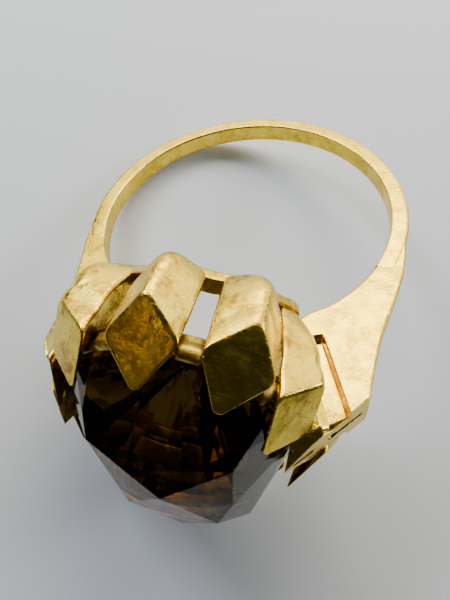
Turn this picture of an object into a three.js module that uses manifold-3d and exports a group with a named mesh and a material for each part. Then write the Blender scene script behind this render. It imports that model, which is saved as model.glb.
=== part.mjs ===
// A cocktail ring: a plain hoop whose two shoulders carry an open basket of ten long prongs.
// The prongs end in diamond-shaped flat faces and hold one tall faceted smoky quartz.
// Millimetres. The ring lies on its side on a table, +Z up, with the stone facing -Y.

import * as THREE from 'three';
import { ConvexGeometry } from 'three/addons/geometries/ConvexGeometry.js';
import { mergeVertices } from 'three/addons/utils/BufferGeometryUtils.js';
import Module from 'manifold-3d';

const wasm = await Module();
wasm.setup();

// ---------------------------------------------------------------- driving dimensions

const FINGER_RADIUS = 8.75;       // inside radius of the hoop
const HOOP_THICKNESS = 0.98;      // radial, at the back of the hoop
const HOOP_WIDTH = 1.15;          // along the finger
const SHOULDER_START = 20;        // degrees above the middle of the ring where the hoop ends
const SHOULDER_END_WIDTH = 2.4;   // along the finger, where the shoulder meets the stone
const SHOULDER_ROOT_WIDTH = 2.3;  // the foot of the shoulder between two prongs
const SHOULDER_FACE_DEPTH = 0.9;
const SHOULDER_EDGE = [{ out: 9.12, height: 5.3 }, { out: 8.72, height: 8.0 }];   // its outer edge

// The diamond face that ends a shoulder: distance from the head's axis, half width and height.
const SHOULDER_FACE = [
  { out: 8.5, half: 1.1, height: 11.25 },
  { out: 7.75, half: 1.2, height: 12.1 },
  { out: 6.35, half: 0.93, height: 13.73 },
  { out: 5.35, half: 0.05, height: 14.9 },
];

// The prongs were bent by hand: where each one stands round the stone, in degrees, and how far
// its tip was pushed outwards and upwards. A wider space is left where a shoulder meets the basket.
const PRONGS = [
  { turn: 23, out: -0.3, up: 0 },
  { turn: 57, out: 0.1, up: -0.25 },
  { turn: 92, out: 0, up: -0.25 },
  { turn: 131, out: 0, up: -0.45 },
  { turn: 163, out: 0, up: -0.2 },
  { turn: 200, out: 0, up: 0 },
  { turn: 236, out: 0, up: 0 },
  { turn: 270, out: 0, up: 0 },
  { turn: 306, out: 0, up: 0 },
  { turn: 340, out: 0.5, up: 0 },
];

// The shoulders: where each stands, and how far its outer edge was hammered in towards the stone.
const SHOULDERS = [
  { name: 'shoulder_right', turn: 0, pull: 0 },
  { name: 'shoulder_left', turn: 180, pull: 0.5 },
];
const RESTING_PRONGS = [7, 6];    // the two whose tips touch the table

const FACE_OUTER = { radius: 7.42, height: 11.85 };   // tips of the diamond face of a prong
const FACE_INNER = { radius: 5.28, height: 14.95 };
const FACE_SIDE = { radius: 6.32, height: 13.35, halfWidth: 1.55 };
const PRONG_FOOT = { radius: 4.7, height: 7.1, halfWidth: 0.85, depth: 0.75 };
const PRONG_HEEL = { radius: 6.62, height: 9.5 };     // where the back ridge begins to curve inwards
const PRONG_CALF = { radius: 6.0, height: 8.4 };      // the ridge below the heel
const PRONG_FLANK = { radius: 6.1, height: 9.4, halfWidth: 0.75 };   // rounds the ridge off at the heel

const GALLERY_RADIUS = 5.95;      // outside, at the height of the finger hole's crown
const GALLERY_WIDTH = 1.45;
const GALLERY_THICKNESS = 0.8;
const GALLERY_SLOPE = 0.62;       // how fast the basket widens with height
const GALLERY_SPAN = { bottom: 6, top: 11 };          // heights that hold the whole saddle

const GIRDLE_RADIUS = 5.5;
const GIRDLE_HEIGHT = 13.15;
const GIRDLE_THICKNESS = 0.25;
const GIRDLE_SIDES = 24;
const CULET_HEIGHT = 10.2;
const CROWN_TURN = 46;            // degrees, first corner of the four-cornered crown
const CROWN_LOWER = { radius: 5.05, height: 14.3, halfTurn: 15 };
const CROWN_CORNER = { radius: 4.4, height: 16.15 };
const TABLE = { radius: 2.05, height: 17.45 };
const CROWN_LEAN = { x: 0.23, y: -0.06 };             // sideways shift of the crown for each mm of height

const SEAT_OUTER_RADIUS = 5.6;
const SEAT_INNER_RADIUS = 4.7;
const SEAT_LOWER = { bottom: 12.0, top: 12.42 };
const SEAT_UPPER = { bottom: 12.47, top: 13.2 };

const CLAW = { bottom: 12.6, top: 13.6, width: 0.9, tipWidth: 0.3, thickness: 0.3, lean: 0.1 };
const CLAW_SPACE = 18;            // degrees between two neighbours that leave room for a claw

const GAP = 0.04;                 // clearance between soldered or touching pieces
const ROUND_STEPS = 96;

// ---------------------------------------------------------------- materials

const gold = new THREE.MeshStandardMaterial({ color: 0xd0ae63, roughness: 0.28, metalness: 1.0 });
const wornGold = new THREE.MeshStandardMaterial({ color: 0xb8954c, roughness: 0.38, metalness: 1.0 });
const quartz = new THREE.MeshStandardMaterial({ color: 0x2a1208, roughness: 0.04, metalness: 0.0 });

// ---------------------------------------------------------------- helpers

const radians = THREE.MathUtils.degToRad;

// A point given by its distance from the head's axis, its height and a sideways offset,
// turned about that axis.
function around(degrees, radius, height, side = 0) {
  const turn = radians(degrees);
  const x = radius * Math.cos(turn) - side * Math.sin(turn);
  const y = radius * Math.sin(turn) + side * Math.cos(turn);
  return new THREE.Vector3(x, y, height);
}

function solidOf(geometry) {
  const bare = geometry.clone();
  bare.deleteAttribute('normal');
  bare.deleteAttribute('uv');
  const merged = mergeVertices(bare, 1e-5);
  const vertProperties = new Float32Array(merged.attributes.position.array);
  const triVerts = new Uint32Array(merged.index.array);
  return new wasm.Manifold(new wasm.Mesh({ numProp: 3, vertProperties, triVerts }));
}

function geometryOf(solid) {
  const mesh = solid.getMesh();
  const geometry = new THREE.BufferGeometry();
  const positions = new Float32Array(mesh.numVert * 3);
  for (let i = 0; i < mesh.numVert; i += 1) {
    for (let k = 0; k < 3; k += 1) {
      positions[3 * i + k] = mesh.vertProperties[mesh.numProp * i + k];
    }
  }
  geometry.setAttribute('position', new THREE.BufferAttribute(positions, 3));
  geometry.setIndex(new THREE.BufferAttribute(new Uint32Array(mesh.triVerts), 1));
  geometry.computeVertexNormals();
  return geometry;
}

// A turned solid about the head's axis from a closed profile of [radius, height] points.
function turned(profile) {
  const points = profile.map(([radius, height]) => new THREE.Vector2(radius, height));
  points.push(points[0].clone());
  const geometry = new THREE.LatheGeometry(points, ROUND_STEPS);
  geometry.rotateX(Math.PI / 2);
  return solidOf(geometry);
}

// A plate in the plane of the hoop, centred on it, from a shape drawn in x and height.
function plate(shape, width) {
  const geometry = new THREE.ExtrudeGeometry(shape, { depth: width, bevelEnabled: false, curveSegments: 48 });
  geometry.translate(0, 0, -width / 2);
  geometry.rotateX(Math.PI / 2);
  return solidOf(geometry);
}

// The finger's cylinder, or a larger one round it.
function fingerCylinder(radius) {
  const geometry = new THREE.CylinderGeometry(radius, radius, 40, 2 * ROUND_STEPS);
  return solidOf(geometry);
}

function hull(points) {
  return solidOf(new ConvexGeometry(points));
}

function named(name, solid, material) {
  const mesh = new THREE.Mesh(geometryOf(solid), material);
  mesh.name = name;
  return mesh;
}

// ---------------------------------------------------------------- the stone

// Every point of the crown and the girdle, grown outwards by a margin.
function stoneSolid(margin) {
  const points = [];
  const lean = (point) => {
    const rise = Math.max(0, point.z - GIRDLE_HEIGHT);
    return point.add(new THREE.Vector3(rise * CROWN_LEAN.x, rise * CROWN_LEAN.y, 0));
  };
  for (let i = 0; i < GIRDLE_SIDES; i += 1) {
    const turn = (360 * i) / GIRDLE_SIDES;
    points.push(around(turn, GIRDLE_RADIUS + margin, GIRDLE_HEIGHT));
    points.push(around(turn, GIRDLE_RADIUS + margin, GIRDLE_HEIGHT + GIRDLE_THICKNESS));
  }
  for (let corner = 0; corner < 4; corner += 1) {
    const turn = CROWN_TURN + 90 * corner;
    for (const side of [-1, 1]) {
      const lower = turn + side * CROWN_LOWER.halfTurn;
      points.push(lean(around(lower, CROWN_LOWER.radius + margin, CROWN_LOWER.height + margin)));
    }
    points.push(lean(around(turn, CROWN_CORNER.radius + margin, CROWN_CORNER.height + margin)));
    points.push(lean(around(turn - 45, TABLE.radius + margin / 2, TABLE.height + margin)));
  }
  points.push(new THREE.Vector3(0, 0, CULET_HEIGHT - 2 * margin));
  return hull(points);
}

// ---------------------------------------------------------------- the basket

// One prong: a bar of diamond section that leans outwards and ends in the diamond face.
function prongBody({ turn, out, up }) {
  const { radius, height, halfWidth, depth } = PRONG_FOOT;
  const bent = (place, side = 0) => around(turn, place.radius + out, place.height + up, side);
  const points = [
    bent(FACE_OUTER),
    bent(FACE_INNER),
    bent(PRONG_HEEL),
    bent(PRONG_CALF),
    around(turn, radius + depth, height + depth / 2),
    around(turn, radius + depth / 2, height - depth / 2),
    around(turn, radius - depth, height + 1),
  ];
  for (const side of [-1, 1]) {
    points.push(bent(FACE_SIDE, side * FACE_SIDE.halfWidth));
    points.push(bent(PRONG_FLANK, side * PRONG_FLANK.halfWidth));
    points.push(around(turn, radius, height, side * halfWidth));
  }
  return hull(points);
}

// The saddle-shaped ring that ties the feet of the prongs together over the finger hole.
const galleryOuter = (height) => GALLERY_RADIUS + (height - FINGER_RADIUS) * GALLERY_SLOPE;
const galleryInner = (height) => galleryOuter(height) - GALLERY_WIDTH;

function galleryBody() {
  const { bottom, top } = GALLERY_SPAN;
  const profile = [
    [galleryInner(bottom), bottom],
    [galleryOuter(bottom), bottom],
    [galleryOuter(top), top],
    [galleryInner(top), top],
  ];
  return turned(profile)
    .intersect(fingerCylinder(FINGER_RADIUS + GAP + GALLERY_THICKNESS))
    .subtract(fingerCylinder(FINGER_RADIUS + GAP));
}

// Everything within the outside of the gallery ring, which the prongs and shoulders leave free.
function galleryRoomBody() {
  const { bottom, top } = GALLERY_SPAN;
  const profile = [
    [0, bottom],
    [galleryOuter(bottom) + GAP, bottom],
    [galleryOuter(top) + GAP, top],
    [0, top],
  ];
  return turned(profile).intersect(fingerCylinder(FINGER_RADIUS + GALLERY_THICKNESS + 2 * GAP));
}

function seatBand(band, margin) {
  const inner = SEAT_INNER_RADIUS - margin;
  const outer = SEAT_OUTER_RADIUS + margin;
  const bottom = band.bottom - margin;
  const top = band.top + margin;
  return turned([[inner, bottom], [outer, bottom], [outer, top], [inner, top]]);
}

// A small tab between two prongs that rises from the seat and leans on the stone's edge.
function clawBody(turn) {
  const inner = SEAT_OUTER_RADIUS + GAP;
  const outer = inner + CLAW.thickness;
  const points = [];
  for (const side of [-1, 1]) {
    points.push(around(turn, inner, CLAW.bottom, (side * CLAW.width) / 2));
    points.push(around(turn, outer, CLAW.bottom, (side * CLAW.width) / 2));
    points.push(around(turn, inner - CLAW.lean, CLAW.top, (side * CLAW.tipWidth) / 2));
    points.push(around(turn, outer - 1.5 * CLAW.lean, CLAW.top - CLAW.lean, (side * CLAW.tipWidth) / 2));
  }
  return hull(points);
}

// ---------------------------------------------------------------- the hoop and its shoulders

const hoopOuter = FINGER_RADIUS + HOOP_THICKNESS;

function hoopBody() {
  const start = radians(SHOULDER_START);
  const shape = new THREE.Shape();
  shape.absarc(0, 0, hoopOuter, start, Math.PI - start, true);
  shape.absarc(0, 0, FINGER_RADIUS, Math.PI - start, start, false);
  shape.closePath();
  return plate(shape, HOOP_WIDTH);
}

// The space that a shoulder fills: as wide as the hoop below, and wider towards the stone.
function flareBody() {
  const points = [];
  const low = hoopOuter * Math.sin(radians(SHOULDER_START)) - 1;
  for (const side of [-1, 1]) {
    for (const x of [4, 10]) {
      points.push(new THREE.Vector3(x, (side * HOOP_WIDTH) / 2, low));
      points.push(new THREE.Vector3(x, (side * SHOULDER_END_WIDTH) / 2, SHOULDER_FACE[1].height));
    }
  }
  return hull(points);
}

// The distance out of a point of a shoulder once its outer edge has been pulled in.
function pulledIn(out, height, pull) {
  const low = hoopOuter * Math.sin(radians(SHOULDER_START));
  const rise = THREE.MathUtils.smoothstep(height, low, SHOULDER_FACE[0].height - 3);
  const reach = THREE.MathUtils.smoothstep(out, SHOULDER_FACE.at(-1).out, SHOULDER_FACE[0].out);
  return out - pull * rise * reach;
}

// The diamond face that ends a shoulder, with the metal behind it.
function shoulderFaceBody(pull) {
  const [first] = SHOULDER_FACE;
  const last = SHOULDER_FACE.at(-1);
  const normal = new THREE.Vector3(last.height - first.height, 0, first.out - last.out).normalize();
  const points = [];
  for (const { out, half, height } of SHOULDER_FACE) {
    for (const y of [-half, half]) {
      const point = new THREE.Vector3(pulledIn(out, height, pull), y, height);
      points.push(point, point.clone().addScaledVector(normal, -SHOULDER_FACE_DEPTH));
    }
  }
  return hull(points);
}

// A shoulder, drawn in x and height above the middle of the ring: a blade that continues
// the hoop and widens towards the stone, and its foot between the two prongs beside it.
function shoulderBody({ turn, pull }) {
  const start = radians(SHOULDER_START) + GAP / FINGER_RADIUS;
  const end = radians(53.5);
  const onHoop = (radius, angle) => [radius * Math.cos(angle), radius * Math.sin(angle)];
  const blade = new THREE.Shape();
  blade.moveTo(...onHoop(hoopOuter, start));
  for (const { out, height } of [...SHOULDER_EDGE, SHOULDER_FACE[0], SHOULDER_FACE[1]]) {
    blade.lineTo(pulledIn(out, height, pull), height);
  }
  blade.lineTo(6.1, 8.3);
  blade.lineTo(...onHoop(FINGER_RADIUS + 0.3, end));
  blade.lineTo(...onHoop(FINGER_RADIUS, end));
  blade.absarc(0, 0, FINGER_RADIUS, end, start, true);
  blade.closePath();
  const root = new THREE.Shape();
  root.moveTo(...onHoop(FINGER_RADIUS + 0.05, radians(43)));
  root.lineTo(6.6, 8.6);
  root.lineTo(7.25, 11.9);
  root.lineTo(6.6, 12.7);
  root.lineTo(5.95, 12.4);
  root.lineTo(5.05, 8.2);
  root.lineTo(...onHoop(FINGER_RADIUS + 0.05, end));
  root.closePath();
  return plate(blade, SHOULDER_END_WIDTH)
    .intersect(flareBody())
    .add(shoulderFaceBody(pull))
    .add(plate(root, SHOULDER_ROOT_WIDTH))
    .rotate([0, 0, turn]);
}

// ---------------------------------------------------------------- assembly

const ring = new THREE.Group();
const stoneRoom = stoneSolid(GAP);
const seatRoom = seatBand(SEAT_LOWER, GAP).add(seatBand(SEAT_UPPER, GAP));
const galleryRoom = galleryRoomBody();
const fingerRoom = fingerCylinder(FINGER_RADIUS + GAP);

ring.add(named('stone', stoneSolid(0), quartz));
ring.add(named('shank', hoopBody(), gold));
ring.add(named('gallery_ring', galleryBody(), gold));
ring.add(named('seat_ring_lower', seatBand(SEAT_LOWER, 0).subtract(stoneRoom), wornGold));
ring.add(named('seat_ring_upper', seatBand(SEAT_UPPER, 0).subtract(stoneRoom), wornGold));

const prongSolids = PRONGS.map((prong) => prongBody(prong)
  .subtract(stoneRoom)
  .subtract(seatRoom)
  .subtract(galleryRoom)
  .subtract(fingerRoom));
prongSolids.forEach((solid, i) => {
  ring.add(named(`prong_${String(i + 1).padStart(2, '0')}`, solid, gold));
});

// The prongs again, slightly wider, as the room that their neighbours leave for them.
const prongRoom = PRONGS
  .map((prong) => hull([-1, 1].flatMap((side) => {
    const shift = around(prong.turn, 0, 0, side * GAP);
    const body = geometryOf(prongBody(prong)).attributes.position;
    const points = [];
    for (let i = 0; i < body.count; i += 1) {
      points.push(new THREE.Vector3().fromBufferAttribute(body, i).add(shift));
    }
    return points;
  })))
  .reduce((all, body) => all.add(body));

const shoulderCut = prongRoom.add(stoneRoom).add(seatRoom).add(galleryRoom).add(fingerRoom);
const shoulderSolids = SHOULDERS.map((shoulder) => shoulderBody(shoulder).subtract(shoulderCut));
shoulderSolids.forEach((solid, i) => {
  ring.add(named(SHOULDERS[i].name, solid, gold));
});

// One claw stands between each two neighbours round the stone, prongs and shoulders alike,
// where they leave room for one.
const neighbours = [...PRONGS, ...SHOULDERS].map(({ turn }) => turn).sort((a, b) => a - b);
const clawSpaces = neighbours.map((turn, i) => [turn, neighbours[i + 1] ?? 360]);
const clawTurns = clawSpaces
  .filter(([from, to]) => to - from > CLAW_SPACE)
  .map(([from, to]) => (from + to) / 2);
const shoulderRoom = shoulderSolids
  .flatMap((body) => [body.translate([0, GAP, 0]), body.translate([0, -GAP, 0]), body])
  .reduce((all, body) => all.add(body));
const clawCut = prongRoom.add(shoulderRoom).add(stoneRoom).add(seatRoom);
clawTurns.forEach((turn, i) => {
  const solid = clawBody(turn).subtract(clawCut);
  ring.add(named(`claw_${String(i + 1).padStart(2, '0')}`, solid, wornGold));
});

// ---------------------------------------------------------------- resting pose

// The ring lies on the tips of two prongs and on the lower edge of the hoop's back.
function restingNormal() {
  const [first, second] = RESTING_PRONGS.map((i) => {
    const { turn, out, up } = PRONGS[i];
    return around(turn, FACE_OUTER.radius + out, FACE_OUTER.height + up);
  });
  const edge = [];
  for (let i = 0; i <= 360; i += 1) {
    const angle = radians(180 + i / 2);
    const x = hoopOuter * Math.cos(angle);
    edge.push(new THREE.Vector3(x, -HOOP_WIDTH / 2, hoopOuter * Math.sin(angle)));
  }
  let best = null;
  let bestDepth = -Infinity;
  for (const third of edge) {
    const along = second.clone().sub(first);
    const normal = along.cross(third.clone().sub(first)).normalize();
    if (normal.y < 0) normal.negate();
    const depth = Math.min(...edge.map((point) => point.clone().sub(first).dot(normal)));
    if (depth > bestDepth) {
      bestDepth = depth;
      best = normal;
    }
  }
  return best;
}

const up = restingNormal();
const headAxis = new THREE.Vector3(0, 0, 1);
const front = headAxis.clone().addScaledVector(up, -headAxis.dot(up)).normalize();
const side = new THREE.Vector3().crossVectors(front, up);
const basis = new THREE.Matrix4().makeBasis(side, front, up).transpose();
const stand = new THREE.Group();
ring.quaternion.setFromRotationMatrix(basis);
stand.add(ring);
stand.rotation.z = Math.PI;

const group = new THREE.Group();
group.add(stand);
group.updateMatrixWorld(true);
const box = new THREE.Box3().setFromObject(group, true);
stand.position.set(-(box.min.x + box.max.x) / 2, -(box.min.y + box.max.y) / 2, -box.min.z);

export default group;
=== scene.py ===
# The looks of a gold cocktail ring with one tall smoky quartz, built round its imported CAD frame.
# Shapes are worked out in millimetres in the ring's own frame (x across the hoop, y along the
# finger, z from the hoop to the stone) and placed in the row frame, in metres, by place().

import math

import bmesh
import bpy
import numpy as np
from mathutils import Matrix, Vector, noise


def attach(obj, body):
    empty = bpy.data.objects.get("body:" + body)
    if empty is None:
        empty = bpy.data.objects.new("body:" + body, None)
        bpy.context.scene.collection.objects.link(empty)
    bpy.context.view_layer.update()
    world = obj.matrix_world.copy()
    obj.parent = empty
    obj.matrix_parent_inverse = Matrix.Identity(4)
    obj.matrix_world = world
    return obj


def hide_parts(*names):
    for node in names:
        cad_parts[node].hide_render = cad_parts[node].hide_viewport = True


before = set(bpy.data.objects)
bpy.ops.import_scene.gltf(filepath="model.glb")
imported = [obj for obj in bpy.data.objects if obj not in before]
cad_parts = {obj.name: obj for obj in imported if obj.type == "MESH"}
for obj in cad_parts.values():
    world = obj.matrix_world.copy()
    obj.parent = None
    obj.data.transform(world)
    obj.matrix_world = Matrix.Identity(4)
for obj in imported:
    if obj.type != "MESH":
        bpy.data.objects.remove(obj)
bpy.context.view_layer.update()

# ---------------------------------------------------------------- driving dimensions, as in the CAD

FINGER_RADIUS = 8.75
HOOP_THICKNESS = 0.98
HOOP_WIDTH = 1.15
HOOP_OUTER = FINGER_RADIUS + HOOP_THICKNESS
SHOULDER_START = 20.0                  # degrees above the middle of the finger hole
HOOP_OVERLAP = 2                       # degrees by which the hoop runs on inside a shoulder
FACE_OUTER = (7.42, 11.85)
GIRDLE_HEIGHT = 13.15
BORE = FINGER_RADIUS + 0.04           # the finger hole where the basket is cut flush with it

# Where each hand-bent prong stands round the stone, how far its tip is pushed outwards and upwards,
# and how far its heel bulges over the gallery.
PRONGS = [
    (23, -0.3, 0.0, 0.15), (57, 0.1, -0.25, 0.35), (92, 0.0, -0.25, 0.40), (131, 0.0, -0.45, 0.35),
    (163, 0.0, -0.2, 0.2), (200, 0.0, 0.0, 0.0), (236, 0.0, 0.0, 0.0), (270, 0.0, 0.0, 0.0),
    (306, 0.0, 0.0, 0.0), (340, 0.5, 0.0, 0.0)]
RESTING_PRONGS = (7, 6)               # the two whose tips touch the table
SHOULDER_TURNS = (0, 180)
LEFT_PULL = 0.5                        # how far the left shoulder is bent inwards
CLAW_SPACE = 18                       # degrees between two neighbours that leave room for a claw
BLUNT_CLAWS = (2, 3, 6, 8)            # the tabs of the seat that are low blocks, not points


# ---------------------------------------------------------------- the ring's place in the row frame

def around(turn, radius, height, side=0.0):
    """A point at a turn round the stone's axis, moved sideways along the tangent."""
    a = math.radians(turn)
    x = radius * math.cos(a) - side * math.sin(a)
    y = radius * math.sin(a) + side * math.cos(a)
    return Vector((x, y, height))


def resting_axes():
    """The ring lies on two prong tips and on the lower edge of the back of the hoop."""
    first, second = (
        around(turn, FACE_OUTER[0] + out, FACE_OUTER[1] + up)
        for turn, out, up, _ in (PRONGS[i] for i in RESTING_PRONGS))
    angles = [math.radians(180 + i / 2) for i in range(361)]
    edge = [Vector((HOOP_OUTER * math.cos(a), -HOOP_WIDTH / 2, HOOP_OUTER * math.sin(a))) for a in angles]
    best = None
    for third in edge:
        normal = (second - first).cross(third - first).normalized()
        if normal.y < 0:
            normal = -normal
        depth = min((point - first).dot(normal) for point in edge)
        if best is None or depth > best[0]:
            best = (depth, normal)
    up = best[1]
    head = Vector((0, 0, 1))
    front = (head - up * head.dot(up)).normalized()
    return Matrix((-front.cross(up), -front, up))


TURN = resting_axes()
shank_points = np.array([v.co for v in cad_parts["shank"].data.vertices]) @ np.array(TURN) * 1000
ORIGIN = Vector((
    (shank_points[:, 0].min() + shank_points[:, 0].max()) / 2,
    (shank_points[:, 1].min() + shank_points[:, 1].max()) / 2,
    shank_points[:, 2].min() + HOOP_OUTER,
))


def place(point):
    """A point of the ring's own frame, in millimetres, in the row frame, in metres."""
    return (TURN @ (Vector(point) + ORIGIN)) / 1000


# ---------------------------------------------------------------- mesh helpers

def make_piece(name, points, faces, node, material):
    """A smooth-shaded mesh that stands in for one CAD node."""
    mesh = bpy.data.meshes.new(name)
    mesh.from_pydata([place(p) for p in points], [], faces)
    mesh.validate()
    mesh.update()
    for polygon in mesh.polygons:
        polygon.use_smooth = True
    piece = bpy.data.objects.new(name, mesh)
    bpy.context.scene.collection.objects.link(piece)
    mesh.materials.append(material)
    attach(piece, "root")
    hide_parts(node)
    return piece


def skin(rings, closed=False):
    """Quads between neighbouring rings of the same number of points."""
    count = len(rings[0])
    points = [p for ring in rings for p in ring]
    faces = []
    spans = len(rings) if closed else len(rings) - 1
    for i in range(spans):
        a, b = i * count, ((i + 1) % len(rings)) * count
        for k in range(count):
            n = (k + 1) % count
            faces.append((a + k, a + n, b + n, b + k))
    return points, faces


def cap(points, faces, ring_start, count, centre, shares, flip=False, shape=None):
    """Closes a ring with ever smaller copies of itself round a centre."""
    ring = list(range(ring_start, ring_start + count))
    outline = [Vector(points[i]) for i in ring]
    for share in shares:
        start = len(points)
        for p in outline:
            moved = centre + (p - centre) * share
            points.append(shape(moved) if shape else moved)
        for k in range(count):
            n = (k + 1) % count
            quad = (ring[k], ring[n], start + n, start + k)
            faces.append(quad[::-1] if flip else quad)
        ring = list(range(start, start + count))
    points.append(shape(centre) if shape else centre)
    middle = len(points) - 1
    for k in range(count):
        n = (k + 1) % count
        triangle = (ring[k], ring[n], middle)
        faces.append(triangle[::-1] if flip else triangle)


def close_ends(points, faces, rings, first_shares, last_shares, first_shape=None, last_shape=None):
    """Caps the first and the last of a piece's rings, each with its own shares and shape."""
    count = len(rings[0])
    cap(points, faces, 0, count, sum(rings[0], Vector()) / count, first_shares, True, first_shape)
    last = (len(rings) - 1) * count
    cap(points, faces, last, count, sum(rings[-1], Vector()) / count, last_shares, False, last_shape)


def rounded(corners, cuts, corner_steps=7, edge_steps=5):
    """A closed outline through corners, each rounded over its own distance along both edges."""
    outline = []
    count = len(corners)
    for i, corner in enumerate(corners):
        before, after = corners[i - 1], corners[(i + 1) % count]
        start = corner + (before - corner).normalized() * cuts[i]
        end = corner + (after - corner).normalized() * cuts[i]
        for step in range(corner_steps + 1):
            t = step / corner_steps
            outline.append(start * (1 - t) ** 2 + corner * 2 * t * (1 - t) + end * t ** 2)
        following = after + (corner - after).normalized() * cuts[(i + 1) % count]
        for step in range(1, edge_steps):
            outline.append(end.lerp(following, step / edge_steps))
    return outline


def along(stations, t):
    """Smooth values between evenly spaced stations, each a tuple of numbers."""
    last = len(stations) - 1
    x = min(max(t, 0.0), 1.0) * last
    i = min(int(x), last - 1)
    f = x - i
    p = [stations[min(max(i + k, 0), last)] for k in (-1, 0, 1, 2)]
    out = []
    for a, b, c, d in zip(*p):
        square = (2 * a - 5 * b + 4 * c - d) * f * f
        cube = (3 * b - a - 3 * c + d) * f ** 3
        out.append(0.5 * (2 * b + (c - a) * f + square + cube))
    return out


def portion(value, start, length):
    """How far a value is along a stretch, from 0 to 1."""
    return min(1.0, max(0.0, (value - start) / length))


def smoothstep(low, high, value):
    """A rise from 0 to 1 between two values, level at both ends."""
    x = portion(value, low, high - low)
    return x * x * (3 - 2 * x)


def soft_max(a, b, width):
    """The larger of two lengths, with the change from one to the other rounded off."""
    h = max(width - abs(a - b), 0.0) / width
    return max(a, b) + h * h * width / 4


def clear_bore(point, width=0.35):
    """Lifts a point of the basket out of the finger hole."""
    x = min(abs(point.x), BORE - 0.5)
    floor = math.sqrt(BORE * BORE - x * x)
    return Vector((point.x, point.y, soft_max(point.z, floor, width)))


# ---------------------------------------------------------------- materials

def nodes_of(material):
    """The empty node tree of a material."""
    material.use_nodes = True
    tree = material.node_tree
    tree.nodes.clear()
    return tree


def add(tree, kind, **values):
    """A new node, with its settings and the values of its inputs."""
    node = tree.nodes.new(kind)
    inputs = values.pop("inputs", {})
    for key, value in values.items():
        setattr(node, key, value)
    for key, value in inputs.items():
        node.inputs[key].default_value = value
    return node


def ramp(tree, source, stops):
    """A source turned into colours by stops, each a position and a colour."""
    node = add(tree, "ShaderNodeValToRGB")
    elements = node.color_ramp.elements
    while len(elements) < len(stops):
        elements.new(0.5)
    for element, (position, colour) in zip(elements, stops):
        element.position = position
        element.color = colour if len(colour) == 4 else (*colour, 1)
    tree.links.new(source, node.inputs["Fac"])
    return node.outputs["Color"]


def grey(value):
    return (value, value, value, 1)


def mix(tree, share, first, second, mode="MIX"):
    """Two colours mixed. The share and the colours are sockets or plain values."""
    node = add(tree, "ShaderNodeMix", data_type="RGBA", blend_type=mode)
    for socket, value in ((node.inputs[0], share), (node.inputs[6], first), (node.inputs[7], second)):
        if hasattr(value, "is_linked") or hasattr(value, "links"):
            tree.links.new(value, socket)
        else:
            socket.default_value = value
    return node.outputs[2]


def texture(tree, coordinates, kind, scale, stretch=(1, 1, 1), turn=(0, 0, 0), **inputs):
    """A noise or cell texture whose scale is given in repeats per millimetre."""
    mapping = add(tree, "ShaderNodeMapping")
    mapping.inputs["Scale"].default_value = [1000 * s for s in stretch]
    mapping.inputs["Rotation"].default_value = turn
    tree.links.new(coordinates, mapping.inputs["Vector"])
    settings = {"Scale": scale}
    settings.update(inputs)
    node = add(tree, kind, inputs=settings)
    tree.links.new(mapping.outputs["Vector"], node.inputs["Vector"])
    return node


WORN_GOLD = (0.94, 0.72, 0.10, 1)
PIT_COLOUR = (0.07, 0.045, 0.02, 1)
DUST_COLOUR = (0.85, 0.83, 0.76, 1)
SCRATCHES = (((0.3, 0.2, 0.5), 9.0), ((1.1, 0.7, 2.1), 7.0), ((0.4, 2.0, 1.2), 8.0))   # turn and scale


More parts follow.
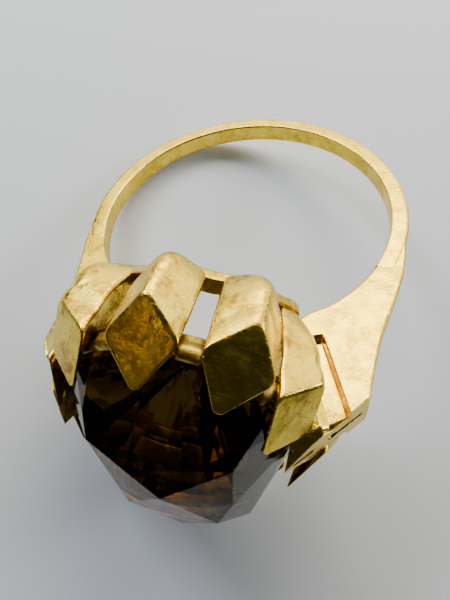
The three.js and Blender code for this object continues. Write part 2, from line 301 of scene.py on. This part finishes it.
def gold_material(name, colour, tarnish_colour, tarnish, roughness, scratch):
    """Gold with cloudy tarnish, worn patches, pits, dust and scratches, all worked out from noise. Darkened
    colours passed in paint shade.
    """
    material = bpy.data.materials.new(name)
    tree = nodes_of(material)
    link = tree.links.new
    out = add(tree, "ShaderNodeOutputMaterial")
    shader = add(tree, "ShaderNodeBsdfPrincipled", inputs={"Metallic": 1.0})
    link(shader.outputs[0], out.inputs[0])
    place_of = add(tree, "ShaderNodeTexCoord").outputs["Object"]

    # cloudy tarnish, denser in some places than others
    cloud = texture(tree, place_of, "ShaderNodeTexNoise", 0.55, Detail=6, Roughness=0.62, Distortion=0.6)
    fine_cloud = texture(tree, place_of, "ShaderNodeTexNoise", 3.2, Detail=5, Roughness=0.7)
    clean, tarnished = 0.48 - 0.08 * tarnish, min(1.0, 0.95 * tarnish)
    cloud_share = ramp(tree, cloud.outputs["Fac"], [(clean, grey(0)), (0.57, grey(tarnished))])
    fine_share = ramp(tree, fine_cloud.outputs["Fac"], [(0.42, grey(0.12)), (0.60, grey(1))])
    share = mix(tree, 1.0, cloud_share, fine_share, "MULTIPLY")
    tinted = mix(tree, share, (*colour, 1), (*tarnish_colour, 1))

    # a paler worn tone in wide soft patches
    wear = texture(tree, place_of, "ShaderNodeTexNoise", 0.9, Detail=3, Roughness=0.5)
    wear_share = ramp(tree, wear.outputs["Fac"], [(0.48, grey(0)), (0.62, grey(0.65))])
    worn = mix(tree, wear_share, tinted, WORN_GOLD)

    # small dark pits
    pits = texture(tree, place_of, "ShaderNodeTexVoronoi", 2.6, Randomness=1.0)
    pit_share = ramp(tree, pits.outputs["Distance"], [(0.045, grey(0.9)), (0.11, grey(0))])
    pit_field = ramp(tree, cloud.outputs["Fac"], [(0.52, grey(0)), (0.60, grey(1))])
    pit = mix(tree, 1.0, pit_share, pit_field, "MULTIPLY")
    pitted = mix(tree, pit, worn, PIT_COLOUR)

    # a few pale specks of dust lying on the metal
    specks = texture(tree, place_of, "ShaderNodeTexVoronoi", 1.3, Randomness=1.0)
    speck = ramp(tree, specks.outputs["Distance"], [(0.035, grey(1)), (0.055, grey(0))])
    link(mix(tree, speck, pitted, DUST_COLOUR), shader.inputs["Base Color"])
    link(ramp(tree, speck, [(0.0, grey(1)), (1.0, grey(0))]), shader.inputs["Metallic"])

    # fine scratches in three directions
    heights = []
    for turn, size in SCRATCHES:
        lines = texture(tree, place_of, "ShaderNodeTexNoise", size,
                        stretch=(0.05, 1, 1), turn=turn, Detail=2, Roughness=0.5)
        heights.append(ramp(tree, lines.outputs["Fac"], [(0.60, grey(0)), (0.72, grey(1))]))
    scratches = mix(tree, 1.0, mix(tree, 1.0, heights[0], heights[1], "ADD"), heights[2], "ADD")

    # tarnished and scratched places are rougher
    uneven = texture(tree, place_of, "ShaderNodeTexNoise", 1.1, Detail=4, Roughness=0.55)
    rough = ramp(tree, uneven.outputs["Fac"], [(0.3, grey(roughness * 0.7)), (0.7, grey(roughness * 1.5))])
    rough = mix(tree, 0.10, rough, scratches, "ADD")
    rough = mix(tree, share, rough, grey(min(0.6, roughness * 2.0)))
    link(rough, shader.inputs["Roughness"])

    # a slow wave of hand finishing, the scratches cut into it, and a fine grain
    wave = add(tree, "ShaderNodeBump", inputs={"Strength": 0.5, "Distance": 0.00009})
    link(uneven.outputs["Fac"], wave.inputs["Height"])
    marks = add(tree, "ShaderNodeBump", inputs={"Strength": 0.16 * scratch, "Distance": 0.000014})
    marks.invert = True
    link(scratches, marks.inputs["Height"])
    link(wave.outputs["Normal"], marks.inputs["Normal"])
    grain = texture(tree, place_of, "ShaderNodeTexNoise", 14.0, Detail=4, Roughness=0.65)
    grained = add(tree, "ShaderNodeBump", inputs={"Strength": 0.08, "Distance": 0.00001})
    link(grain.outputs["Fac"], grained.inputs["Height"])
    link(marks.outputs["Normal"], grained.inputs["Normal"])
    link(grained.outputs["Normal"], shader.inputs["Normal"])
    return material


def quartz_material():
    """Clear quartz that darkens to brown with depth."""
    material = bpy.data.materials.new("smoky_quartz")
    tree = nodes_of(material)
    link = tree.links.new
    out = add(tree, "ShaderNodeOutputMaterial")
    shader = add(tree, "ShaderNodeBsdfPrincipled", inputs={
        "Base Color": (1, 1, 1, 1), "Roughness": 0.0, "IOR": 1.544, "Transmission Weight": 1.0,
        "Specular IOR Level": 0.12, "Specular Tint": (0.80, 0.66, 0.42, 1)})
    depth = add(tree, "ShaderNodeVolumeAbsorption", inputs={"Color": (0.62, 0.52, 0.18, 1), "Density": 700.0})
    link(shader.outputs[0], out.inputs["Surface"])
    link(depth.outputs[0], out.inputs["Volume"])
    place_of = add(tree, "ShaderNodeTexCoord").outputs["Object"]
    smear = texture(tree, place_of, "ShaderNodeTexNoise", 0.8, Detail=5, Roughness=0.6)
    rough = ramp(tree, smear.outputs["Fac"], [(0.45, grey(0.0)), (0.75, grey(0.06))])
    link(rough, shader.inputs["Roughness"])
    return material


POLISHED = gold_material(
    "polished_gold", (0.86, 0.61, 0.045), (0.52, 0.30, 0.015), tarnish=0.75, roughness=0.19, scratch=0.8)
BASKET = gold_material(
    "basket_gold", (0.80, 0.55, 0.050), (0.36, 0.20, 0.010), tarnish=1.2, roughness=0.20, scratch=1.6)
# The seat's gold is a darkened copy of the gold, in both its base and its tarnish colour: painted shade under
# the stone.
SHADED_SEAT = gold_material(
    "seat_gold", (0.48, 0.31, 0.06), (0.09, 0.05, 0.015), tarnish=1.0, roughness=0.30, scratch=1.0)
# The lower band's gold is darker still, in both its base and its tarnish colour: painted shade deeper under
# the stone.
SHADED_INNER = gold_material(
    "inner_gold_painted_shade", (0.22, 0.13, 0.03), (0.04, 0.025, 0.01), tarnish=1.0, roughness=0.45, scratch=1.0)
QUARTZ = quartz_material()


# ---------------------------------------------------------------- prongs

# From the face back to the finger hole: ridge (radius, height), side (radius, height, half width)
# and inner edge (radius, height, half width), with the rounding of the ridge, the sides and the
# inner corners.
PRONG_STATIONS = [
    (7.50, 11.80, 6.32, 13.35, 1.66, 5.26, 14.98, 0.16, 0.50, 0.46, 0.12),
    (7.50, 11.15, 6.24, 12.70, 1.62, 5.58, 13.60, 0.50, 0.50, 0.36, 0.24),
    (7.40, 10.50, 6.10, 11.95, 1.56, 5.62, 12.75, 0.80, 0.62, 0.30, 0.22),
    (7.20, 9.85, 5.95, 11.10, 1.48, 5.40, 11.85, 0.92, 0.76, 0.30, 0.22),
    (6.85, 9.28, 5.75, 10.25, 1.42, 4.95, 10.80, 0.92, 0.84, 0.32, 0.22),
    (6.35, 8.78, 5.50, 9.45, 1.36, 4.70, 9.95, 0.90, 0.84, 0.34, 0.22),
    (5.75, 8.30, 5.15, 8.70, 1.26, 4.50, 9.05, 0.84, 0.74, 0.34, 0.20),
    (5.05, 7.70, 4.70, 7.90, 1.14, 4.25, 8.15, 0.74, 0.58, 0.34, 0.18),
    (4.30, 6.95, 4.18, 7.05, 1.00, 4.00, 7.25, 0.60, 0.34, 0.28, 0.14),
]
PRONG_RINGS = 40
HEEL_SPOT, HEEL_SPREAD = 0.52, 0.30   # where along a prong its heel is, and how long
HEEL_OUT, HEEL_DOWN, HEEL_SIDE = 0.75, 0.25, 0.3   # shares of a heel's bulge: ridge out, ridge down, sides
FULL_HEEL = 0.4                       # the heel of the most bent prong
RIDGE_PULL = 0.385                    # how far inwards the ridge of a prong without a heel lies
PULL_FROM, PULL_OVER = 0.05, 0.15     # where along the prong that begins, and how fast
BEND_FADE_FROM, BEND_FADE_OVER = 0.45, 0.5      # where along the prong the bend of its tip dies away
FOOT_RADIUS = 5.2                     # where a prong's foot meets the finger hole, from the stone's axis
FOOT_SINK = 0.25                      # how far the middle of the foot runs on past the hole's edge
# The rings of the bevel round a face: distance inwards and share of the prong's length.
FACE_BEVEL = ((0.20, 0.0), (0.15, 0.0), (0.085, 0.003), (0.035, 0.010), (0.008, 0.022), (0.0, 0.036))
BEVEL_WEAR = 0.35                     # unevenness of the bevel, as a share
BODY_FROM = 0.06                      # share of a prong's length from which its other rings are spaced
WOBBLE = 0.06                         # unevenness of a hand-filed bar
DISH = 0.014                          # unevenness of a face


def prong_ring(prong, t):
    """The rounded outline of a prong at a share of its length from the face, and its middle."""
    turn, out, up, heel = prong
    (ridge_r, ridge_z, side_r, side_z, half, inner_r, inner_z, inner_half,
     cut_ridge, cut_side, cut_inner) = along(PRONG_STATIONS, t)
    bent = 1 - portion(t, BEND_FADE_FROM, BEND_FADE_OVER)
    bulge = heel * max(0.0, 1 - ((t - HEEL_SPOT) / HEEL_SPREAD) ** 2)
    pull = RIDGE_PULL * (1 - heel / FULL_HEEL) * portion(t, PULL_FROM, PULL_OVER) * bent
    out, up = out * bent, up * bent
    side = bulge * HEEL_SIDE
    ridge = around(turn, ridge_r + out + bulge * HEEL_OUT - pull, ridge_z + up - bulge * HEEL_DOWN)
    left = around(turn, side_r + out + side, side_z + up, half + side)
    right = around(turn, side_r + out + side, side_z + up, -half - side)
    inner_left = around(turn, inner_r + out, inner_z + up, inner_half)
    inner_right = around(turn, inner_r + out, inner_z + up, -inner_half)
    centre = (ridge + left + right + (inner_left + inner_right) / 2) / 4
    corners = [ridge, left, inner_left, inner_right, right]
    return rounded(corners, [cut_ridge, cut_side, cut_inner, cut_inner, cut_side]), centre


def make_prong(index, prong):
    """A bar from its diamond face to where it meets the finger hole."""
    seed = Vector((7.3 * index, 1.7, 4.1))
    floor = math.sqrt(BORE ** 2 - (FOOT_RADIUS * math.cos(math.radians(prong[0]))) ** 2) - FOOT_SINK
    end = 1.0
    for step in range(100, 50, -1):
        if prong_ring(prong, step / 100)[1].z > floor:
            break
        end = step / 100
    face, _ = prong_ring(prong, 0.0)
    corner = len(face) // 5           # points from one of the five corners to the next
    normal = (face[corner] - face[0]).cross(face[2 * corner] - face[0]).normalized()
    if normal.z < 0:
        normal = -normal
    rings = []
    for inset, t in FACE_BEVEL:
        ring, middle = prong_ring(prong, t)
        rings.append([
            p + (middle - p).normalized() * inset * (1 + BEVEL_WEAR * noise.noise(p * 1.3 + seed))
            for p in ring])
    for i in range(1, PRONG_RINGS):
        t = end * (BODY_FROM + (1 - BODY_FROM) * i / (PRONG_RINGS - 1))
        ring, _ = prong_ring(prong, t)
        shaped = []
        for p in ring:
            wobble = noise.noise(p * 0.6 + seed) * WOBBLE * min(1.0, 6 * t)
            out = Vector((p.x, p.y, 0)).normalized()
            shaped.append(clear_bore(p + out * wobble))
        rings.append(shaped)
    points, faces = skin(rings)

    def dish(p):
        return p + normal * DISH * noise.noise(p * 0.8 + seed)

    close_ends(points, faces, rings, (0.93, 0.75, 0.5, 0.25), (0.8, 0.4), dish, clear_bore)
    name = f"prong_{index + 1:02d}"
    return make_piece(name + "_bar", points, faces, name, BASKET)


# ---------------------------------------------------------------- gallery, seat and claws

GALLERY_STEPS = 240
GALLERY_MIDDLE = 5.3                  # the radius at which the gallery follows the finger hole
GALLERY_RADIUS = 5.95                 # outside, where the finger hole is highest
GALLERY_TAPER = 0.62                  # how much narrower it gets for each millimetre it dips
GALLERY_WALL = 1.15
SCALLOP = 0.30                        # depth of the scallops between the prongs
SCALLOP_REACH = 18                    # degrees from a prong to the deepest place


def make_gallery():
    """The saddle ring that follows the finger hole, scalloped between the prongs."""
    rings = []
    for i in range(GALLERY_STEPS):
        turn = 360 * i / GALLERY_STEPS
        nearest = min(abs((turn - prong[0] + 180) % 360 - 180) for prong in PRONGS)
        scallop = SCALLOP * (1 - math.cos(math.pi * min(nearest / SCALLOP_REACH, 1))) / 2
        base = around(turn, GALLERY_MIDDLE, 0)
        height = math.sqrt(BORE ** 2 - base.x ** 2)
        outer = GALLERY_RADIUS + (height - FINGER_RADIUS) * GALLERY_TAPER - scallop
        inner = outer - GALLERY_WALL
        corners = [
            around(turn, inner, height), around(turn, outer, height - 0.02),
            around(turn, outer + 0.16, height + 0.66), around(turn, inner + 0.3, height + 0.72)]
        rings.append([clear_bore(p, 0.1) for p in rounded(corners, [0.14, 0.2, 0.12, 0.12], 4, 3)])
    points, faces = skin(rings, closed=True)
    faces = [f[::-1] for f in faces]
    return make_piece("gallery_saddle", points, faces, "gallery_ring", BASKET)


BAND_STEPS = 300
BAND_SLOPE = 0.12                     # how much lower a band's top is inside than outside


def make_band(name, node, bottom, top, inner, outer, ripple, seed, material):
    """A thin, slightly uneven band under the stone's edge."""
    rings = []
    for i in range(BAND_STEPS):
        turn = 360 * i / BAND_STEPS
        probe = around(turn, outer, bottom) * 0.9 + Vector((seed, 0, 0))
        wave = ripple * noise.noise(probe)
        low = ripple * 0.5 * noise.noise(probe + Vector((0, 9, 0)))
        corners = [
            around(turn, inner, bottom + low), around(turn, outer + wave, bottom + low),
            around(turn, outer + wave, top + wave), around(turn, inner, top - BAND_SLOPE)]
        rings.append(rounded(corners, [0.05, 0.1, 0.12, 0.05], 3, 3))
    points, faces = skin(rings, closed=True)
    return make_piece(name, points, [f[::-1] for f in faces], node, material)


# Levels of a claw, from its foot up: height, half width, inner radius, thickness.
BLUNT_LEVELS = [
    (12.52, 0.58, 5.60, 0.26), (12.85, 0.60, 5.62, 0.30), (13.12, 0.56, 5.62, 0.28),
    (13.25, 0.48, 5.60, 0.16)]
POINTED_LEVELS = [
    (12.6, 0.45, 5.66, 0.28), (12.95, 0.42, 5.67, 0.27), (13.25, 0.30, 5.64, 0.25), (13.5, 0.16, 5.58, 0.2),
    (13.6, 0.06, 5.55, 0.1)]
CLAW_SPREAD = 0.2                     # how much the tabs differ in width, as a share
CLAW_TAPER = 0.85                     # width of a tab's outer side, as a share of its inner side
CLAW_FALL = 0.03                      # how much lower its outer side is
CLAW_EDGE = 0.07                      # rounding of its edges, where it is wide enough


def make_claw(index, turn, blunt):
    """A tab of the seat between two prongs, either a blunt block or a small pointed claw."""
    seed = Vector((3.1 * index, 5.0, 2.0))
    size = 1 + CLAW_SPREAD * noise.noise(seed)
    rings = []
    for height, half, inner, thick in BLUNT_LEVELS if blunt else POINTED_LEVELS:
        half *= size
        corners = [
            around(turn, inner, height, half), around(turn, inner, height, -half),
            around(turn, inner + thick, height - CLAW_FALL, -half * CLAW_TAPER),
            around(turn, inner + thick, height - CLAW_FALL, half * CLAW_TAPER)]
        cut = min(CLAW_EDGE, half * 0.4, thick * 0.3)
        rings.append(rounded(corners, [cut] * 4, 3, 3))
    points, faces = skin(rings)
    close_ends(points, faces, rings, (0.5,), (0.5,))
    name = f"claw_{index + 1:02d}"
    # The tabs take the seat's darkened gold, which is painted shade.
    return make_piece(name + "_tab", points, faces, name, SHADED_SEAT)


# ---------------------------------------------------------------- hoop and shoulders

HOOP_STEPS = 180
HOOP_EDGES = (0.12, 0.22, 0.22, 0.12)   # rounding of its four edges: inner, outer, outer, inner


def make_hoop():
    """The bar of the hoop, which ends inside the shoulders."""
    rings = []
    start = SHOULDER_START + HOOP_OVERLAP
    for i in range(HOOP_STEPS + 1):
        angle = math.radians(start - (180 + 2 * start) * i / HOOP_STEPS)
        out = Vector((math.cos(angle), 0, math.sin(angle)))
        across = Vector((0, 1, 0))
        half = HOOP_WIDTH / 2
        corners = [out * FINGER_RADIUS - across * half, out * HOOP_OUTER - across * half,
                   out * HOOP_OUTER + across * half, out * FINGER_RADIUS + across * half]
        rings.append(rounded(corners, HOOP_EDGES, 6, 4))
    points, faces = skin(rings)
    close_ends(points, faces, rings, (0.6, 0.3), (0.6, 0.3))
    return make_piece("shank_hoop", points, faces, "shank", POLISHED)


# A shoulder from the hoop to its diamond face: inner edge (out, height) and outer edge (out, height).
SHOULDER_SECTIONS = [
    (8.79, 0.80, 9.64, 0.90), (8.45, 2.35, 9.66, 2.35), (7.98, 3.65, 9.56, 3.90), (7.38, 4.75, 9.28, 5.40),
    (6.75, 5.62, 8.96, 6.80), (6.00, 6.43, 8.76, 8.00), (4.80, 7.42, 8.65, 9.10), (4.70, 8.70, 8.58, 9.90),
    (5.00, 10.60, 8.54, 10.50), (5.45, 12.60, 8.52, 10.90), (5.35, 14.90, 8.50, 11.25)]
# The diamond face's outline along its length: out, height, half width.
SHOULDER_FACE = [(8.5, 11.25, 1.10), (7.75, 12.10, 1.20), (6.35, 13.73, 0.93), (5.35, 14.90, 0.06)]
FLARE = (3.0, 12.1, HOOP_WIDTH / 2, 1.2)   # heights where a shoulder starts and stops widening, half widths
GROOVE_TOP, GROOVE_END = Vector((6.10, 0, 8.30)), Vector((7.75, 0, 12.10))
GROOVE_WIDTH = 0.95
GROOVE_WALL, GROOVE_DEPTH = 0.20, 0.46     # how far its wall leans, and how deep it is there
GROOVE_SLOPE = 0.12                        # how much shallower it is at its far side
GROOVE_RISE, GROOVE_RUN = 0.24, 0.5        # how far the metal beyond it rises again, and over what width
GROOVE_START = (-0.05, 0.2)                # where along its course it begins, and where it is full depth
FACE_SPREAD = 0.7                          # how fast a shoulder widens away from its face
THINNEST = 0.05                            # half the width of a shoulder's thin end
RIM_RADIUS = 0.16                          # rounding of a shoulder's edges
SHOULDER_SINK = 0.04                       # how deep a shoulder starts inside the hoop
SINK_FADE = (0.10, 0.22)                   # shares of its length between which it comes out of the hoop
PULL_HEIGHTS = (0.8, 5.5)                  # heights where the bend of a shoulder starts and is complete
SHOULDER_ROWS, SHOULDER_COLUMNS = 150, 90
SHOULDER_UNEVEN = 0.02                     # unevenness of its sides


def shoulder_half(out, height):
    """Half the width of a shoulder at a place in its plane, with the groove beside the prong."""
    low, high, narrow, wide = FLARE
    half = narrow + (wide - narrow) * portion(height, low, high - low)
    start, end = (Vector((x, 0, z)) for x, z, _ in (SHOULDER_FACE[0], SHOULDER_FACE[-1]))
    line = end - start
    offset = Vector((out, 0, height)) - start
    t = min(1.0, max(0.0, offset.dot(line) / line.length_squared))
    below = (offset - line * t).length
    stops = [((Vector((x, 0, z)) - start).length / line.length, face) for x, z, face in SHOULDER_FACE]
    face = stops[-1][1]
    for (a, first), (b, second) in zip(stops, stops[1:]):
        if t <= b:
            face = first + (second - first) * (t - a) / (b - a)
            break
    half = min(half, face + FACE_SPREAD * below)
    course = (GROOVE_END - GROOVE_TOP).normalized()
    beside = Vector((-course.z, 0, course.x))
    p = Vector((out, 0, height)) - GROOVE_TOP
    s, along_groove = p.dot(beside), p.dot(course)
    if s > 0:
        if s < GROOVE_WIDTH:
            depth = smoothstep(0, GROOVE_WALL, s) * (GROOVE_DEPTH - GROOVE_SLOPE * s / GROOVE_WIDTH)
        else:
            beyond = smoothstep(GROOVE_WIDTH, GROOVE_WIDTH + GROOVE_RUN, s)
            depth = GROOVE_DEPTH - GROOVE_SLOPE - GROOVE_RISE * beyond
        half -= depth * smoothstep(*GROOVE_START, along_groove) * min(1.0, half)
    return max(half, THINNEST)


def make_shoulder(name, node, turn, pull):
    """A blade with a groove, as two sides joined by a rounded edge, pulled in by a hand-bent amount."""
    sign = 1 if turn == 0 else -1
    rows, columns = SHOULDER_ROWS, SHOULDER_COLUMNS

    def pulled(out, height):
        rise = smoothstep(*PULL_HEIGHTS, height)
        reach = smoothstep(SHOULDER_FACE[-1][0], SHOULDER_FACE[0][0], out)
        bore = math.sqrt(max(0.0, (FINGER_RADIUS + 0.02) ** 2 - height ** 2))
        return max(out - pull * rise * reach, min(out, bore))

    grid = []
    for i in range(rows + 1):
        u = i / rows
        ix, iz, ox, oz = along(SHOULDER_SECTIONS, u)
        row = []
        for j in range(columns + 1):
            v = j / columns
            x, z = ix + (ox - ix) * v, iz + (oz - iz) * v
            edge = min(v, 1 - v) * math.hypot(ox - ix, oz - iz)
            near = 1 - min(1.0, edge / RIM_RADIUS)
            rim = RIM_RADIUS * (1 - math.sqrt(max(0.0, 1 - near ** 2)))
            sunk = SHOULDER_SINK * (1 - smoothstep(*SINK_FADE, u))
            row.append((pulled(x, z), z, max(0.02, shoulder_half(x, z) - rim - sunk)))
        grid.append(row)
    points, faces = [], []
    for side in (1, -1):
        for row in grid:
            for x, z, half in row:
                bump = SHOULDER_UNEVEN * noise.noise(Vector((x, side * half, z)) * 0.9)
                points.append(Vector((sign * x, sign * side * (half + bump), z)))
    width = columns + 1
    back = width * (rows + 1)
    for i in range(rows):
        for j in range(columns):
            a, b = i * width + j, (i + 1) * width + j
            faces.append((a, a + 1, b + 1, b))
            faces.append((back + a, back + b, back + b + 1, back + a + 1))
    for i in range(rows):
        for j in (0, columns):
            a, b = i * width + j, (i + 1) * width + j
            strip = (a, b, back + b, back + a)
            faces.append(strip if j == 0 else strip[::-1])
    for j in range(columns):
        start = (j, j + 1, back + j + 1, back + j)
        faces.append(start[::-1])
    shoulder_end(points, faces, rows * width, back, columns, sign)
    return make_piece(name, points, faces, node, POLISHED)


# The slot along a shoulder's face has a short and a long stretch. In shares of the face's length:
# where each starts, where it is open, and where it starts to close and is closed.
SHORT_SLOT = (0.10, 0.14, 0.30, 0.36)
LONG_SLOT = (0.50, 0.56, 0.90, 0.94)
HOLE_SPOT, HOLE_REACH = 0.56, 0.05    # the middle of the slot's wide place, and its reach either way
SLOT_HALF, HOLE_HALF = 0.09, 0.12     # half the slot's width, and what the hole adds to it
SLOT_DEPTH = 0.45
FACE_NORMAL = (0.757, 0.653)          # the direction in which the face looks: out and up
FACE_STEPS = 24


def stretch_open(places, v):
    """How open a stretch of the slot is at a share of the face's length."""
    start, opened, closing, closed = places
    return smoothstep(start, opened, v) * (1 - smoothstep(closing, closed, v))


def shoulder_end(points, faces, start, back, columns, sign):
    """The diamond face between the two sides of a shoulder, with a narrow slot along its middle."""
    normal = Vector((sign * FACE_NORMAL[0], 0, FACE_NORMAL[1]))
    rows = []
    for j in range(columns + 1):
        front, rear = points[start + j], points[back + start + j]
        row = [start + j]
        v = j / columns
        slot = stretch_open(LONG_SLOT, v) + stretch_open(SHORT_SLOT, v)
        hole = max(0.0, 1 - ((v - HOLE_SPOT) / HOLE_REACH) ** 2)
        for k in range(1, FACE_STEPS):
            w = k / FACE_STEPS
            p = front.lerp(rear, w)
            across = abs(w - 0.5) * (front - rear).length
            open_half = SLOT_HALF + HOLE_HALF * hole
            depth = SLOT_DEPTH * slot * (1 - smoothstep(open_half * 0.6, open_half, across))
            points.append(p - normal * depth)
            row.append(len(points) - 1)
        row.append(back + start + j)
        rows.append(row)
    for a, b in zip(rows, rows[1:]):
        for k in range(FACE_STEPS):
            quad = (a[k], b[k], b[k + 1], a[k + 1])
            faces.append(quad[::-1])


# ---------------------------------------------------------------- the stone

GIRDLE_RADIUS = 5.5
GIRDLE_THICKNESS = 0.25
CROWN_LEAN = Vector((0.23, -0.06, 0))
CULET_HEIGHT = 10.2
GIRDLE_SIDES = 24
CROWN_TURN = 46                       # where the first corner of the crown stands
SAME_FACET = 0.8                      # degrees under which two neighbouring triangles are one facet
# Points of the crown at each of its four corners: turn from the corner, radius, height.
CROWN_POINTS = [
    (-15, 5.05, 14.3), (15, 5.05, 14.3), (0, 4.4, 16.15), (-45, 2.05, 17.45), (-20, 3.16, 16.93),
    (-4, 4.92, 15.25)]


def make_stone():
    """A pointed pavilion, a round girdle and a tall four-cornered crown, as one convex hull."""
    points = []

    def lean(p):
        return p + CROWN_LEAN * max(0.0, p.z - GIRDLE_HEIGHT)

    for i in range(GIRDLE_SIDES):
        turn = 360 * i / GIRDLE_SIDES
        points.append(around(turn, GIRDLE_RADIUS, GIRDLE_HEIGHT))
        points.append(around(turn, GIRDLE_RADIUS, GIRDLE_HEIGHT + GIRDLE_THICKNESS))
    for corner in range(4):
        for turn, radius, height in CROWN_POINTS:
            points.append(lean(around(CROWN_TURN + 90 * corner + turn, radius, height)))
    points.append(Vector((0, 0, CULET_HEIGHT)))
    made = bmesh.new()
    for p in points:
        made.verts.new(place(p))
    result = bmesh.ops.convex_hull(made, input=made.verts)
    inside = [g for g in result["geom_interior"] if isinstance(g, bmesh.types.BMVert)]
    bmesh.ops.delete(made, geom=inside, context="VERTS")
    flat = math.radians(SAME_FACET)
    bmesh.ops.dissolve_limit(made, angle_limit=flat, verts=made.verts, edges=made.edges)
    bmesh.ops.recalc_face_normals(made, faces=made.faces)
    mesh = bpy.data.meshes.new("stone_quartz")
    made.to_mesh(mesh)
    made.free()
    piece = bpy.data.objects.new("stone_quartz", mesh)
    bpy.context.scene.collection.objects.link(piece)
    mesh.materials.append(QUARTZ)
    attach(piece, "root")
    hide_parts("stone")
    return piece


# ---------------------------------------------------------------- camera, floor and light

# The camera in the ring's own frame, fitted to how the hoop and the prongs' faces lie in the photo:
# where it stands, the direction to its right and the direction in which it looks.
EYE = (7.165, 21.009, 20.950)
EYE_RIGHT = Vector((0.9585, -0.1305, -0.2534))
EYE_FORWARD = Vector((-0.2538, -0.7952, -0.5507))
SENSOR_WIDTH, FOCAL_LENGTH = 36, 28.8


def make_camera():
    """The photo's viewing angle."""
    data = bpy.data.cameras.new("camera")
    data.sensor_width = SENSOR_WIDTH
    data.lens = FOCAL_LENGTH
    data.clip_start = 0.002
    data.clip_end = 20
    camera = bpy.data.objects.new("camera", data)
    bpy.context.scene.collection.objects.link(camera)
    eye = place(EYE)
    right = TURN @ EYE_RIGHT
    forward = TURN @ EYE_FORWARD
    up = right.cross(forward).normalized()
    right = forward.cross(up).normalized()
    turn = Matrix((right, up, -forward)).transposed().to_4x4()
    camera.matrix_world = Matrix.Translation(eye) @ turn
    bpy.context.scene.camera = camera


FLOOR_COLOUR = (0.72, 0.80, 0.95, 1)
FLOOR_HALF = 1.5                      # half the floor's side, in metres
WORLD_COLOUR = (0.85, 0.88, 1.0, 1)
WORLD_STRENGTH = 0.03
LIT_SPOT = (0, 0, 0.006)              # where every light points, in metres
# Each light's name, turn and rise in degrees, distance and size in metres, power in watts, and colour.
SOFTBOXES = [
    ("back_softbox", 92, 28, 0.16, (0.30, 0.16), 0.41, (1.0, 0.91, 0.70)),
    ("key_softbox", 100, 40, 0.15, (0.10, 0.06), 0.12, (1.0, 0.90, 0.62)),
    ("left_softbox", 150, 38, 0.18, (0.06, 0.06), 0.17, (0.97, 0.97, 1.0)),
    ("right_softbox", 25, 28, 0.18, (0.05, 0.05), 0.12, (0.98, 0.97, 0.95)),
    ("warm_card", -144, 42, 0.16, (0.03, 0.03), 0.0025, (1.0, 0.62, 0.25))]


def make_floor():
    """A plain pale floor at the height that the ring rests on."""
    mesh = bpy.data.meshes.new("floor")
    size = FLOOR_HALF
    corners = [(-size, -size, 0), (size, -size, 0), (size, size, 0), (-size, size, 0)]
    mesh.from_pydata(corners, [], [(0, 1, 2, 3)])
    floor = bpy.data.objects.new("floor", mesh)
    bpy.context.scene.collection.objects.link(floor)
    material = bpy.data.materials.new("floor")
    tree = nodes_of(material)
    out = add(tree, "ShaderNodeOutputMaterial")
    shader = add(tree, "ShaderNodeBsdfPrincipled", inputs={"Base Color": FLOOR_COLOUR, "Roughness": 0.8})
    tree.links.new(shader.outputs[0], out.inputs[0])
    mesh.materials.append(material)


def make_light(name, location, target, size, power, colour):
    """A flat rectangular light that faces a target."""
    data = bpy.data.lights.new(name, "AREA")
    data.shape = "RECTANGLE"
    data.size, data.size_y = size
    data.energy = power
    data.color = colour
    light = bpy.data.objects.new(name, data)
    bpy.context.scene.collection.objects.link(light)
    light.location = location
    light.rotation_euler = (Vector(target) - Vector(location)).to_track_quat("-Z", "Y").to_euler()


def make_world():
    """The faint even light from all round."""
    world = bpy.data.worlds.new("studio")
    bpy.context.scene.world = world
    world.use_nodes = True
    back = world.node_tree.nodes["Background"]
    back.inputs["Color"].default_value = WORLD_COLOUR
    back.inputs["Strength"].default_value = WORLD_STRENGTH


def softbox(name, turn, rise, distance, size, power, colour):
    """An area light at a compass turn and a rise above the table, in degrees, facing the ring."""
    a, e = math.radians(turn), math.radians(rise)
    spot = Vector((math.cos(a) * math.cos(e), math.sin(a) * math.cos(e), math.sin(e))) * distance
    make_light(name, spot, LIT_SPOT, size, power, colour)


make_camera()
make_floor()
make_world()
for settings in SOFTBOXES:
    softbox(*settings)

for index, prong in enumerate(PRONGS):
    make_prong(index, prong)
neighbours = sorted([prong[0] for prong in PRONGS] + list(SHOULDER_TURNS))
pairs = zip(neighbours, neighbours[1:] + [360])
spaces = [(first, second) for first, second in pairs if second - first > CLAW_SPACE]
for index, (first, second) in enumerate(spaces):
    make_claw(index, (first + second) / 2, index in BLUNT_CLAWS)
make_gallery()
# The lower band takes the darkest copy of the gold, which is painted shade.
make_band("seat_band_lower", "seat_ring_lower", bottom=12.0, top=12.42, inner=4.75, outer=5.56,
          ripple=0.05, seed=2.0, material=SHADED_INNER)
# The upper band takes the seat's darkened gold, which is painted shade.
make_band("seat_band_upper", "seat_ring_upper", bottom=12.47, top=13.12, inner=5.0, outer=5.58,
          ripple=0.04, seed=6.0, material=SHADED_SEAT)
make_hoop()
make_shoulder("shoulder_blade_right", "shoulder_right", SHOULDER_TURNS[0], 0.0)
make_shoulder("shoulder_blade_left", "shoulder_left", SHOULDER_TURNS[1], LEFT_PULL)
make_stone()
